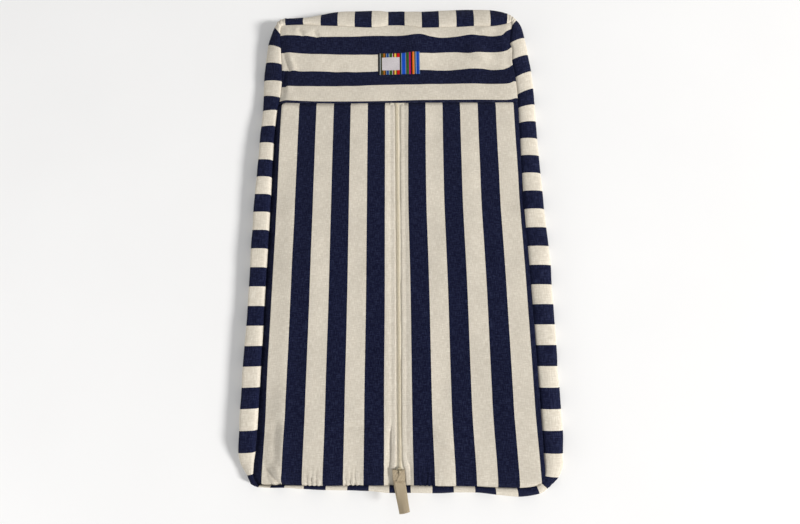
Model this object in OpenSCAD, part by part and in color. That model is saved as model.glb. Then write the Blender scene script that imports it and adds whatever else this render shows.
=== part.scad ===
// Garment bag of striped cotton canvas, empty and lying on its back.
// X is across the bag, +Y runs from the hem to the hanger end, +Z is up out of the front.
// The origin is on the table, below the middle of the whole outline.

/* [Panels] */
// Width of the front and back panels between the side seams
panel_w = 600; // [540:5:660]
// Length of the front and back panels between the hem seam and the top seam
panel_l = 1085; // [950:5:1250]
// Height of the front panels above the table, at the seams
front_z = 26; // [24:1:40]
// Thickness of one ply of canvas
cloth_t = 1.2; // [1:0.1:1.6]

/* [Yoke] */
// Height of the yoke across the shoulders
yoke_h = 218; // [160:2:260]
// Depth of the lap where the yoke covers the front panels
yoke_lap = 20; // [18:1:30]

/* [Gussets] */
// How far the side gussets stand out past the side seams
side_out = 39; // [25:1:50]
// How far the top gusset stands out past the top seam
top_out = 46; // [35:1:60]
// How far the hem gusset stands out past the hem seam
hem_out = 13; // [8:1:30]
// Stand-out of the gussets at the two pinched top corners
top_corner_out = 15; // [8:1:25]
// Stand-out of the gussets at the two tucked hem corners
hem_corner_out = 5; // [3:1:8]
// Length over which a gusset tapers into a corner
corner_taper = 50; // [30:5:80]

/* [Zip] */
// Sideways offset of the zip from the middle of the front
zip_x = 2; // [0:0.5:4]
// Width of the open slit between the two turned panel edges
slit_w = 14; // [13:0.5:20]
// Height of the bottom end of the slit above the hem seam
slit_start = 14; // [12:1:20]
// Width of the turned hem along each side of the slit
slit_hem_w = 12; // [10:1:20]
// Width of one zip tape
zip_tape_w = 16; // [12:1:20]
// Thickness of one zip tape
zip_tape_t = 0.8; // [0.5:0.1:1]
// Width of one row of the zip coil
coil_w = 2.7; // [2:0.1:3]
// Height of the zip coil
coil_h = 2.2; // [1.8:0.1:2.3]
// Gap between the two rows of coil, where the slider's wedge runs
coil_gap = 1.0; // [0.9:0.1:1.2]

/* [Slider and pull] */
// Length of the slider
slider_l = 11; // [9:0.5:13]
// Height of the slider's middle above the hem seam, zip closed
slider_start = 31; // [30:1:50]
// Width of the webbing of the pull
pull_w = 25; // [20:1:30]
// Length of the pull from the slider's bail to its end
pull_l = 81; // [60:1:110]
// Sideways tilt of the pull's long leg
pull_tilt = 14; // [0:1:20]
// Thickness of the doubled webbing of the pull
pull_t = 2.4; // [1.6:0.1:3]

/* [Label] */
// Width of the woven label
label_w = 104; // [60:1:130]
// Height of the woven label
label_h = 58; // [30:1:80]
// Height of the label's middle above the hem seam
label_y = 974; // [960:1:990]
// Sideways offset of the label's middle
label_x = 8; // [-20:1:20]

/* [Eyelet] */
// Radius of the hole for the hanger's hook
eyelet_r = 6; // [5:0.5:7]
// Outer radius of the eyelet's flange
eyelet_flange_r = 11; // [10:0.5:11.5]
// Length of the eyelet's barrel from its outer face
eyelet_l = 5; // [4:0.5:7]

/* [Hidden] */
$fn = 48;

// Levels of the layers at the front, from the outside down.
panel_bottom_z = front_z - cloth_t;
hem_bottom_z = panel_bottom_z - cloth_t;
tape_bottom_z = hem_bottom_z - zip_tape_t;
coil_top_z = hem_bottom_z + coil_h;
half_w = panel_w / 2;
yoke_y = panel_l - yoke_h;

// The slider's plates, wedge and bail, and the neck of webbing that turns in the bail.
plate_t = 1.2;
plate_gap = 0.3;
top_plate_z = coil_top_z + plate_gap;
bail_z = top_plate_z + plate_t;
slider_w = 9.4;
flange_t = 0.7;
wedge_w = 0.5;
wedge_l = 3;
neck_r = 1.4;
neck_fit = 0.08;
neck_z = bail_z + plate_gap + neck_r;
bail_w = 1.8;
bail_ring = 1.4;
bail_foot = 4.2;
bail_side_gap = 0.3;
pull_bend = 19;
end_stop_l = 2.5;
base_stop_l = 4;
coil_lead = 2.5;
coil_lap = 8;
coil_start = slider_start - slider_l / 2 - coil_lead;
coil_end = yoke_y + coil_lap;

// The outline's ends, which put the origin below its middle.
pull_leg = pull_l - pull_bend;
pull_reach = pull_bend + pull_leg * cos(pull_tilt) + pull_w / 2 * sin(pull_tilt);
outline_low = slider_start - pull_reach;
outline_high = panel_l + top_out;
outline_mid = (outline_low + outline_high) / 2;

// A gusset's section as shares of its stand-out with heights, from front seam to back seam.
soft_section = [
    [0, front_z], [0.75, front_z * 0.87], [1, front_z * 0.65],
    [1, front_z * 0.33], [0.75, front_z * 0.12], [0, 0]
];
boxed_share = 0.84;
boxed_section = [
    [0, front_z], [0.80, front_z - 0.6], [boxed_share, front_z - 1.4],
    [boxed_share, 1.4], [0.80, 0.6], [0, 0]
];
// Which way the inner face lies from each point of the section, outward and up.
inward = [[0, -1], [-0.2, -1], [-0.95, -0.35], [-0.95, 0.35], [-0.2, 1], [0, 1]];

// Width of the boxed stretch that holds the eyelet, and of its blend into the soft section.
boxed_half = 20;
boxed_blend = 45;
eyelet_y = panel_l + boxed_share * top_out;
eyelet_z = front_z / 2;
eyelet_wall = 0.7;
flange_t_eyelet = 1.6;
eyelet_fit = 0.1;
bore_clear = 1;
washer_t = 0.9;
washer_inset = 0.5;

binding_w = 10;
binding_t = 1.6;
label_t = 0.6;

module placed() {
    translate([0, -outline_mid, 0]) children();
}

// ---- Gussets ----------------------------------------------------------------------------

// A station is [distance along, overshoot at the nose, stand-out, share boxed].
function section_at(station) = [
    for (k = [0 : len(soft_section) - 1])
        soft_section[k] * (1 - station[3]) + boxed_section[k] * station[3]
];

function outer_point(station, p) =
    [station[0] + station[1] * p[0], station[2] * p[0], p[1]];

function inner_point(station, p, dir) =
    [station[0] + station[1] * p[0] + sign(station[1]) * dir[0] * cloth_t,
     station[2] * p[0] + dir[0] * cloth_t, p[1] + dir[1] * cloth_t];

function ring(station) =
    let (section = section_at(station), last = len(section) - 1)
    concat(
        [for (k = [0 : last]) outer_point(station, section[k])],
        [for (k = [last : -1 : 0]) inner_point(station, section[k], inward[k])]
    );

// A folded strip of canvas along X, standing out to +Y, one ply thick.
// Outer and inner faces are cut along the same diagonals, so the ply never pinches out.
module gusset_strip(stations) {
    n = 2 * len(soft_section);
    count = len(stations);
    points = [for (s = stations) each ring(s)];
    sides = [
        for (i = [0 : count - 2])
            for (k = [0 : n - 1])
                let (a = i * n + k, b = i * n + (k + 1) % n)
                each k < n / 2
                    ? [[a, b, b + n], [a, b + n, a + n]]
                    : [[a, b, a + n], [b, b + n, a + n]]
    ];
    near_cap = [for (k = [0 : n / 2 - 2]) [n - 1 - k, n - 2 - k, k + 1, k]];
    far = (count - 1) * n;
    far_cap = [for (k = [0 : n / 2 - 2]) [far + k, far + k + 1, far + n - 2 - k, far + n - 1 - k]];
    polyhedron(points, concat(sides, near_cap, far_cap));
}

module side_gusset() {
    rotate([0, 0, -90])
        translate([0, half_w, 0])
            gusset_strip([
                [-panel_l, -top_corner_out, top_corner_out, 0],
                [-panel_l + corner_taper, 0, side_out, 0],
                [-corner_taper, 0, side_out, 0],
                [0, hem_corner_out, hem_corner_out, 0]
            ]);
}

module gusset_right() {
    color("#27304e") placed() side_gusset();
}

module gusset_left() {
    color("#27304e") placed() mirror([1, 0, 0]) side_gusset();
}

module gusset_top() {
    color("#27304e")
        placed()
            difference() {
                translate([0, panel_l, 0])
                    gusset_strip([
                        [-half_w, -top_corner_out, top_corner_out, 0],
                        [-half_w + corner_taper, 0, top_out, 0],
                        [-boxed_blend, 0, top_out, 0],
                        [-boxed_half, 0, top_out, 1],
                        [boxed_half, 0, top_out, 1],
                        [boxed_blend, 0, top_out, 0],
                        [half_w - corner_taper, 0, top_out, 0],
                        [half_w, top_corner_out, top_corner_out, 0]
                    ]);
                translate([0, eyelet_y + bore_clear, eyelet_z])
                    rotate([90, 0, 0])
                        cylinder(r = eyelet_r + eyelet_wall + eyelet_fit, h = cloth_t + 2 * bore_clear);
            }
}

module gusset_hem() {
    color("#e6e1d2")
        placed()
            mirror([0, 1, 0])
                gusset_strip([
                    [-half_w, -hem_corner_out, hem_corner_out, 0],
                    [-half_w + corner_taper, 0, hem_out, 0],
                    [half_w - corner_taper, 0, hem_out, 0],
                    [half_w, hem_corner_out, hem_corner_out, 0]
                ]);
}

// ---- Panels -----------------------------------------------------------------------------

module back_panel() {
    color("#e6e1d2")
        placed()
            translate([-half_w, 0, 0]) cube([panel_w, panel_l, cloth_t]);
}

// One front half, from its side seam at x = 0 to the slit, w across to the zip's middle.
module front_half(w) {
    edge = w - slit_w / 2;
    top = yoke_y + yoke_lap;
    translate([0, 0, panel_bottom_z])
        linear_extrude(cloth_t)
            polygon([[0, 0], [w, 0], [w, slit_start], [edge, slit_start], [edge, top], [0, top]]);
    translate([edge - slit_hem_w, slit_start, hem_bottom_z])
        cube([slit_hem_w, top - slit_start, cloth_t]);
}

module front_panel_left() {
    color("#27304e") placed() translate([-half_w, 0, 0]) front_half(half_w + zip_x);
}

module front_panel_right() {
    color("#27304e")
        placed() translate([half_w, 0, 0]) mirror([1, 0, 0]) front_half(half_w - zip_x);
}

// The yoke laps over the top of the front panels, then drops to their level.
module yoke() {
    drop = 6;
    lap_y = yoke_y + yoke_lap;
    color("#e6e1d2")
        placed()
            translate([-half_w, 0, 0])
                rotate([90, 0, 90])
                    linear_extrude(panel_w)
                        polygon([
                            [yoke_y, front_z], [lap_y, front_z], [lap_y, panel_bottom_z],
                            [panel_l, panel_bottom_z], [panel_l, front_z], [lap_y + drop, front_z],
                            [lap_y, front_z + cloth_t], [yoke_y, front_z + cloth_t]
                        ]);
}

// A flat frame of bias binding over the seam allowances, just inside a panel's edge.
module seam_binding(z) {
    margin = 1;
    outer = [panel_w - 2 * margin, panel_l - 2 * margin];
    placed()
        translate([0, panel_l / 2, z])
            linear_extrude(binding_t)
                difference() {
                    square(outer, center = true);
                    square(outer - 2 * [binding_w, binding_w], center = true);
                }
}

module front_seam_binding() {
    color("#ddd6c4") seam_binding(panel_bottom_z - binding_t);
}

module back_seam_binding() {
    color("#ddd6c4") seam_binding(cloth_t);
}

// ---- Zip --------------------------------------------------------------------------------

// One zip half to the right of the zip's middle, and its mirror to the left.
module zip_side(side) {
    placed()
        translate([zip_x, 0, 0])
            mirror([side < 0 ? 1 : 0, 0, 0]) children();
}

module tape_half() {
    bead = 0.4;
    end_gap = 4;
    tape_gap = coil_gap / 2 + bead;
    low = slit_start;
    high = yoke_y + yoke_lap - end_gap;
    translate([tape_gap, low, tape_bottom_z]) cube([zip_tape_w, high - low, zip_tape_t]);
}

module coil_half() {
    translate([coil_gap / 2, coil_start, hem_bottom_z])
        cube([coil_w, coil_end - coil_start, coil_h]);
}

module zip_tape_left() {
    color("#e8e2d0") zip_side(-1) tape_half();
}

module zip_tape_right() {
    color("#e8e2d0") zip_side(1) tape_half();
}

module zip_coil_left() {
    color("#efe9da") zip_side(-1) coil_half();
}

module zip_coil_right() {
    color("#efe9da") zip_side(1) coil_half();
}

// A pair of crimped stops, one on each tape, below the ends of the coil.
module zip_end_stops() {
    lip = 0.2;
    stop_w = coil_w + lip;
    color("#b9b4a6")
        for (side = [-1, 1])
            zip_side(side)
                translate([coil_gap / 2, coil_start - end_stop_l, hem_bottom_z])
                    cube([stop_w, end_stop_l, coil_h]);
}

// One stop across both tapes, above the coil and under the yoke's lap.
module zip_base_stop() {
    overhang = 0.5;
    stop_w = coil_gap + 2 * (coil_w + overhang);
    color("#b9b4a6")
        placed()
            translate([zip_x - stop_w / 2, coil_end, hem_bottom_z])
                cube([stop_w, base_stop_l, coil_h]);
}

// ---- Slider and pull --------------------------------------------------------------------

module at_slider() {
    placed() translate([zip_x, slider_start, 0]) children();
}

// Outline of a slider plate: wide at the hem end, where the rows part, narrow at the other.
module slider_outline() {
    wide = slider_w / 2;
    narrow = wide - 0.5;
    half_l = slider_l / 2;
    heel = [1.4, 1.6];
    toe = [1, 1.2];
    waist_y = -1;
    polygon([
        [-wide + heel[0], -half_l], [wide - heel[0], -half_l],
        [wide, -half_l + heel[1]], [wide, waist_y],
        [narrow, half_l - toe[1]], [narrow - toe[0], half_l],
        [-narrow + toe[0], half_l], [-narrow, half_l - toe[1]],
        [-wide, waist_y], [-wide, -half_l + heel[1]]
    ]);
}

module zip_slider() {
    bottom_plate_z = tape_bottom_z - plate_gap - plate_t;
    flange_z = hem_bottom_z + plate_gap;
    flange_x = coil_gap / 2 + coil_w + plate_gap;
    flange_inset = 2;
    flange_l = slider_l - 2 * flange_inset;
    wedge_inset = 0.8;
    wedge_y = -slider_l / 2 + wedge_inset;
    color("#c9c6bd")
        at_slider() {
            translate([0, 0, top_plate_z]) linear_extrude(plate_t) slider_outline();
            translate([0, 0, bottom_plate_z]) linear_extrude(plate_t) slider_outline();
            for (side = [-1, 1])
                mirror([side < 0 ? 1 : 0, 0, 0])
                    translate([flange_x, -flange_l / 2, flange_z])
                        cube([flange_t, flange_l, top_plate_z - flange_z]);
            translate([-wedge_w / 2, wedge_y, bottom_plate_z + plate_t])
                cube([wedge_w, wedge_l, top_plate_z - bottom_plate_z - plate_t]);
        }
}

// The arch on the slider that the webbing is threaded through.
module slider_bail() {
    rise = neck_z - bail_z;
    shoulder = neck_r + bail_ring - 0.3;
    shoulder_rise = 0.4;
    color("#c9c6bd")
        at_slider()
            translate([-bail_w / 2, 0, bail_z])
                rotate([90, 0, 90])
                    linear_extrude(bail_w)
                        difference() {
                            union() {
                                translate([0, rise]) circle(r = neck_r + bail_ring);
                                polygon([
                                    [-bail_foot, 0], [bail_foot, 0],
                                    [shoulder, rise + shoulder_rise],
                                    [-shoulder, rise + shoulder_rise]
                                ]);
                            }
                            translate([0, rise]) circle(r = neck_r + neck_fit);
                            translate([-bail_foot, -bail_foot]) square([2 * bail_foot, bail_foot]);
                        }
}

// Webbing threaded sideways through the bail, its two legs folded down, stitched and doubled.
module pull_tape() {
    half_pull = pull_w / 2;
    slot = bail_w / 2 + bail_side_gap;
    slot_l = bail_foot + 1;
    mitre = half_pull * tan(pull_tilt / 2);
    along = [sin(pull_tilt), -cos(pull_tilt)];
    across = half_pull * [cos(pull_tilt), sin(pull_tilt)];
    tip = [0, -pull_bend] + pull_leg * along;
    color("#b0a082")
        at_slider()
            translate([0, 0, neck_z]) {
                rotate([0, 90, 0]) cylinder(r = neck_r, h = pull_w - 2, center = true);
                translate([0, 0, -pull_t / 2])
                    linear_extrude(pull_t)
                        polygon([
                            [slot, 0], [half_pull, 0], [half_pull, mitre - pull_bend],
                            tip + across, tip - across,
                            [-half_pull, -mitre - pull_bend], [-half_pull, 0], [-slot, 0],
                            [-slot, -slot_l], [slot, -slot_l]
                        ]);
            }
}

// ---- Label and eyelet -------------------------------------------------------------------

module label() {
    color("#d8d8dc")
        placed()
            translate([label_x - label_w / 2, label_y - label_h / 2, front_z])
                cube([label_w, label_h, label_t]);
}

// Turns a section about the hole's axis. Distances run back from the flange's outer face.
module about_eyelet() {
    placed()
        translate([0, eyelet_y + flange_t_eyelet, eyelet_z])
            rotate([90, 0, 0])
                rotate_extrude($fn = 72) children();
}

module eyelet_flange() {
    barrel_r = eyelet_r + eyelet_wall;
    slope_w = 1.6;
    rim = 0.5;
    edge_t = 0.4;
    color("#c8c4b8")
        about_eyelet()
            polygon([
                [eyelet_r, 0], [eyelet_flange_r - slope_w, 0], [eyelet_flange_r - rim, rim],
                [eyelet_flange_r, flange_t_eyelet - edge_t], [eyelet_flange_r, flange_t_eyelet],
                [barrel_r, flange_t_eyelet], [barrel_r, eyelet_l], [eyelet_r, eyelet_l]
            ]);
}

module eyelet_washer() {
    washer_depth = flange_t_eyelet + cloth_t;
    washer_r = eyelet_r + eyelet_wall + eyelet_fit / 2;
    color("#c8c4b8")
        about_eyelet()
            translate([washer_r, washer_depth])
                square([eyelet_flange_r - washer_inset - washer_r, washer_t]);
}

back_panel();
front_panel_left();
front_panel_right();
yoke();
gusset_left();
gusset_right();
gusset_top();
gusset_hem();
front_seam_binding();
back_seam_binding();
zip_tape_left();
zip_tape_right();
zip_coil_left();
zip_coil_right();
zip_end_stops();
zip_base_stop();
zip_slider();
slider_bail();
pull_tape();
label();
eyelet_flange();
eyelet_washer();
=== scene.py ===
import math

import bpy
import numpy as np
from mathutils import Matrix, Vector


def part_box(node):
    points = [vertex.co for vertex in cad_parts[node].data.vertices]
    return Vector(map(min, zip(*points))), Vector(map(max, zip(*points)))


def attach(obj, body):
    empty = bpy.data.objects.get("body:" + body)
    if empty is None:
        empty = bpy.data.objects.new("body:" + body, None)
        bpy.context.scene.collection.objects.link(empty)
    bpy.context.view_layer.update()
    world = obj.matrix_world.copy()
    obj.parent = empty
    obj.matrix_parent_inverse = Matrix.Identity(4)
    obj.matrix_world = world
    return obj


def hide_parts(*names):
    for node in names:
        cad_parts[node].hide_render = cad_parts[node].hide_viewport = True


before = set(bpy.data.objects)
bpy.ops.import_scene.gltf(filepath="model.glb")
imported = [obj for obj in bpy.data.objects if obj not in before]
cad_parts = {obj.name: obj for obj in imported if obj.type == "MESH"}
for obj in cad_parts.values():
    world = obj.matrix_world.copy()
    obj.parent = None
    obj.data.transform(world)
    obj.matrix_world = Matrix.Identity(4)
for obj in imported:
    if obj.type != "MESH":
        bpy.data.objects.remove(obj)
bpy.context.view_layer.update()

# A garment bag of striped canvas, lying on its back. Lengths in this script are millimetres in the hem frame:
# x across the bag, y up from the hem seam, z up from the table. to_row() turns them into the row frame.
MM = 0.001
ROOT, PULL = "bag", "pull"


def cad_box(node):
    """Lowest and highest corner of a CAD node, in millimetres in the hem frame."""
    lo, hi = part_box(node)
    shift = np.array([0, HEM_Y, 0])
    return (np.array(lo) - shift) / MM, (np.array(hi) - shift) / MM


HEM_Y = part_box("back_panel")[0].y
FRONT_Z = cad_box("front_panel_left")[1][2]
ZIP_X = (cad_box("zip_coil_left")[0][0] + cad_box("zip_coil_right")[1][0]) / 2
TAPE_BOX = cad_box("zip_tape_right")
COIL_BOX = cad_box("zip_coil_right")
LABEL_BOX = cad_box("label")
NECK_Z = (cad_box("pull_tape")[0][2] + cad_box("pull_tape")[1][2]) / 2
SLIDER_Y = (cad_box("zip_slider")[0][1] + cad_box("zip_slider")[1][1]) / 2

STRIPE = 43.0  # width of one woven stripe
CLOTH = 1.0  # thickness of the canvas
FLOOR_GAP = 0.4  # how far the lowest cloth stays above the table
FOLD_R = 0.75  # radius of a turned edge
TURN_UNDER = 12.0  # width of the cloth turned under along an edge
ROLL_W, ROLL_DEPTH = 3.2, 2.2  # width and depth of the quarter round that cloth makes at a seam
STITCH_IN = 6.6  # from the slit's turned edge to its row of stitches
YOKE_STITCH_IN = 11.0  # from the yoke's turned edge to its row of stitches


def to_row(points):
    """Points in millimetres in the hem frame, as metres in the row frame."""
    return np.asarray(points, float) * MM + np.array([0, HEM_Y, 0])


# ---- Curves, noise and creases ----


def spline(keys, values, at):
    """A smooth curve through the values at the keys, which never overshoots them."""
    keys, values, at = (np.asarray(a, float) for a in (keys, values, at))
    step = np.diff(keys)
    slope = np.diff(values) / step
    tangent = np.zeros(len(keys))
    tangent[0], tangent[-1] = slope[0], slope[-1]
    for i in range(1, len(keys) - 1):
        if slope[i - 1] * slope[i] > 0:
            a, b = 2 * step[i] + step[i - 1], step[i] + 2 * step[i - 1]
            tangent[i] = (a + b) / (a / slope[i - 1] + b / slope[i])
    i = np.clip(np.searchsorted(keys, at) - 1, 0, len(step) - 1)
    t = np.clip((at - keys[i]) / step[i], 0, 1)
    return (
        (2 * t**3 - 3 * t**2 + 1) * values[i]
        + (t**3 - 2 * t**2 + t) * step[i] * tangent[i]
        + (3 * t**2 - 2 * t**3) * values[i + 1]
        + (t**3 - t**2) * step[i] * tangent[i + 1]
    )


def ease(x, start, end):
    """0 before start, 1 after end, and smooth between them."""
    t = np.clip((x - start) / (end - start), 0, 1)
    return t * t * (3 - 2 * t)


def bell(x):
    return np.exp(-(x**2))


def stack(*parts):
    """Arrays broadcast to one shape, side by side along a new last axis."""
    return np.stack(np.broadcast_arrays(*parts), -1)


def noise(x, y, cell, seed):
    """Smooth noise from -1 to 1 with features about one cell across, always the same for one seed."""
    size = 64
    grid = np.random.default_rng(seed).uniform(-1, 1, (size, size))
    u, v = x / cell + 19.37, y / cell + 7.81
    i, j = np.floor(u).astype(int), np.floor(v).astype(int)
    fu, fv = u - i, v - j
    fu, fv = fu**3 * (fu * (6 * fu - 15) + 10), fv**3 * (fv * (6 * fv - 15) + 10)
    a, b = grid[i % size, j % size], grid[(i + 1) % size, j % size]
    c, d = grid[i % size, (j + 1) % size], grid[(i + 1) % size, (j + 1) % size]
    return (a * (1 - fu) + b * fu) * (1 - fv) + (c * (1 - fu) + d * fu) * fv


def crease(x, y, start, end, width, height):
    """A soft ridge, or a groove if height is negative, from start to end, fading at both ends."""
    ax, ay = start
    dx, dy = end[0] - ax, end[1] - ay
    length = math.hypot(dx, dy)
    along = ((x - ax) * dx + (y - ay) * dy) / length**2
    across = ((x - ax) * dy - (y - ay) * dx) / length
    fade = ease(along, -0.15, 0.25) * (1 - ease(along, 0.7, 1.15))
    return height * fade * bell(across / width)


def creases(x, y, table):
    """All the creases of a table, each [start, end, width, height]."""
    return sum(crease(x, y, *row) for row in table)


def seam_roll(distance, depth=ROLL_DEPTH):
    """How far cloth has turned down at a distance from its seam: a quarter round."""
    near = np.clip(1 - distance / ROLL_W, 0, 1)
    return depth * (1 - np.sqrt(1 - near**2 * 0.999))


# ---- The run of the gusset round the bag ----
# Stations run clockwise from the hem's left corner: [stripe count, front seam x, y, nose x, y]. One stripe of
# the gusset is one count, and stripes between an odd count and the next even one are navy.

STATIONS = np.array([
    [-0.9, -296, -1.5, -298, -4], [-0.5, -304, 5, -311, 0], [0, -310.5, 21, -322, 18],
    [0.5, -310, 43, -337.5, 42], [1, -308, 65, -342, 64], [3, -305.5, 154, -342.5, 153],
    [8, -303, 375, -340, 375], [13, -302, 596, -339.5, 596], [17, -300.5, 771, -334, 771],
    [19, -296, 860, -332, 858], [20, -289.5, 894, -332.5, 901], [21, -287.5, 938, -333.5, 943],
    [22, -289.5, 985, -331, 993], [23, -293, 1029.5, -327.5, 1043], [23.6, -294.5, 1054, -318.5, 1075],
    [24, -295, 1067, -311.5, 1091], [24.5, -294, 1086, -301, 1109], [25, -281, 1092, -283, 1115],
    [26, -235, 1091, -235, 1114.5], [27, -190, 1086.5, -190, 1124], [28, -146.5, 1083.5, -146.5, 1130.5],
    [29, -103, 1079, -103, 1131.5], [30, -59.5, 1076, -59.5, 1131], [30.5, -38, 1077, -38, 1129.5],
    [31, -18, 1081, -18, 1125.5], [31.5, 2, 1081, 2, 1124.6], [32, 24, 1079, 24, 1125],
    [33, 67, 1071, 67, 1124], [35, 154, 1070, 154, 1125.5], [36, 198, 1071.5, 198, 1126],
    [37, 239, 1070, 240, 1122], [38, 280, 1076, 284, 1110], [38.5, 292, 1079, 297, 1101],
    [39, 294, 1070, 307.5, 1090], [39.4, 290.5, 1053, 317, 1076], [40, 287, 1022, 325, 1040],
    [40.4, 291.5, 1004, 328, 1021], [41, 289, 976, 331, 993], [42, 295, 928, 336, 948],
    [43, 296, 881, 338, 901], [44, 296, 845, 338, 857], [46, 295, 765, 338, 767], [50, 295, 590, 342, 591],
    [53, 297, 459, 345.5, 459], [56, 298.5, 327, 345, 327], [60, 298.5, 151, 344, 150],
    [61, 299, 108, 344, 107], [62, 299, 64, 341, 62], [62.5, 300, 43, 339.5, 41], [63, 297, 20, 329, 16],
    [63.5, 286, 14, 318, 5], [64, 289, 7.5, 304, -6], [65, 281, 0.5, 287, -15], [66, 241, -4, 244, -21.5],
    [67, 197, -3, 199, -17.5], [68, 155, -0.5, 156, -13.3], [70, 68, 1, 68, -13.4],
    [72, -20, 2, -20, -12.5], [73, -62, 1.5, -63, -9], [75, -151, 1.5, -152, -8],
    [77, -238, 1.2, -239, -4.5], [78.3, -276, -1.5, -277, -3.6], [79.1, -296, -1.5, -298, -4],
])
CORNERS = {"hem_left": -0.9, "top_left": 24.5, "top_right": 38.5, "hem_right": 64.0, "hem_end": 79.1}

# Height of the front seam along the run: low at the hem, full at the sides, highest across the top.
SEAM_Z = np.array([
    [-0.9, 15], [1, 14.5], [6, 15], [16, 16], [20, 18], [23, 24], [24.5, 29], [26, 31], [30, 32],
    [31.5, 31], [33, 32], [37, 31], [38.5, 30], [40, 27], [43, 25], [50, 24], [60, 24], [63, 21],
    [65, 21], [70, 24], [74, 24], [78, 19], [79.1, 15],
])


def station(column, count):
    return spline(STATIONS[:, 0], STATIONS[:, column], count)


def seam_xy(count):
    return stack(station(1, count), station(2, count))


def seam_height(count):
    return spline(SEAM_Z[:, 0], SEAM_Z[:, 1], count)


def run_between(start, end, per_stripe):
    """Stripe counts from start to end, evenly spaced."""
    return np.linspace(start, end, max(2, int(round(abs(end - start) * per_stripe)) + 1))


ENDS = list(CORNERS.values())
LEFT_RUN, TOP_RUN, RIGHT_RUN, HEM_RUN = (run_between(*pair, 24) for pair in zip(ENDS, ENDS[1:]))


def on_seam(run, at, axis):
    """A seam at a place along an axis: its other coordinate, and its height."""
    points = seam_xy(run)
    order = np.argsort(points[:, axis])
    keys = points[order, axis]
    return np.interp(at, keys, points[order, 1 - axis]), np.interp(at, keys, seam_height(run)[order])


def on_side_seam(run, y):
    return on_seam(run, y, 1)


def on_end_seam(run, x):
    return on_seam(run, x, 0)


# ---- Mesh helpers ----


def link(name, data):
    piece = bpy.data.objects.new(name, data)
    bpy.context.scene.collection.objects.link(piece)
    return piece


def new_object(name, mesh, material, body, nodes=()):
    """A piece that rides on a body, stands for CAD nodes, and takes the material given."""
    piece = link(name, mesh)
    mesh.materials.append(material)
    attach(piece, body)
    if nodes:
        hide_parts(*nodes)
    return piece


def grid_mesh(name, points, cloth_uv, wear=None, closed=False):
    """A grid of points, rows by columns, as a smooth mesh with a cloth UV map in metres."""
    rows, columns = points.shape[:2]
    index = np.arange(rows * columns).reshape(rows, columns)
    right = np.roll(index, -1, 1) if closed else index[:, 1:]
    left = index if closed else index[:, :-1]
    faces = stack(left[:-1], right[:-1], right[1:], left[1:]).reshape(-1, 4)
    mesh = bpy.data.meshes.new(name)
    mesh.from_pydata(to_row(points).reshape(-1, 3).tolist(), [], faces.tolist())
    mesh.polygons.foreach_set("use_smooth", np.ones(len(mesh.polygons), bool))
    layer = mesh.uv_layers.new(name="cloth")
    corner = np.zeros(len(mesh.loops), int)
    mesh.loops.foreach_get("vertex_index", corner)
    flat = np.asarray(cloth_uv, float).reshape(-1, 2)
    layer.data.foreach_set("uv", flat[corner].astype(np.float32).ravel())
    attribute = mesh.attributes.new("wear", "FLOAT", "POINT")
    if wear is not None:
        attribute.data.foreach_set("value", np.asarray(wear, np.float32).ravel())
    return mesh


def ply(name, points, uv, wear, material, thickness=CLOTH, body=ROOT, nodes=None):
    """A sheet with its thickness below it. It stands for the node in its name, or for the nodes given."""
    nodes = [name.split("_", 1)[1]] if nodes is None else nodes
    piece = new_object(name, grid_mesh(name, points, uv, wear), material, body, nodes)
    solid = piece.modifiers.new("ply", "SOLIDIFY")
    solid.thickness, solid.offset, solid.use_quality_normals = thickness * MM, -1.0, True
    return piece


def lengths_along(path):
    return np.concatenate([[0], np.cumsum(np.linalg.norm(np.diff(path, axis=0), axis=1))])


def steps(length, count, fine=(0, 0.25, 0.7, 1.4, 2.4, 3.6, 5.5, 8), both=False):
    """Shares from 0 to 1 along a length: fine near its far end (or both ends), even between."""
    fine = np.array(fine) / length
    middle = np.linspace(fine[-1] if both else 0, 1 - fine[-1], count)
    parts = [fine[:-1]] if both else []
    return np.concatenate([*parts, middle, 1 - fine[:-1][::-1]])


def coons(low, high, inner, outer, s, t):
    """A patch between four boundary curves. low and high run along s, inner and outer along t."""
    s, t = s[None, :, None], t[:, None, None]
    low, high, inner, outer = low[None], high[None], inner[:, None], outer[:, None]
    corners = (
        (1 - s) * (1 - t) * low[:, :1] + s * (1 - t) * low[:, -1:]
        + (1 - s) * t * high[:, :1] + s * t * high[:, -1:]
    )
    return (1 - t) * low + t * high + (1 - s) * inner + s * outer - corners


# ---- Materials ----


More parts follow.
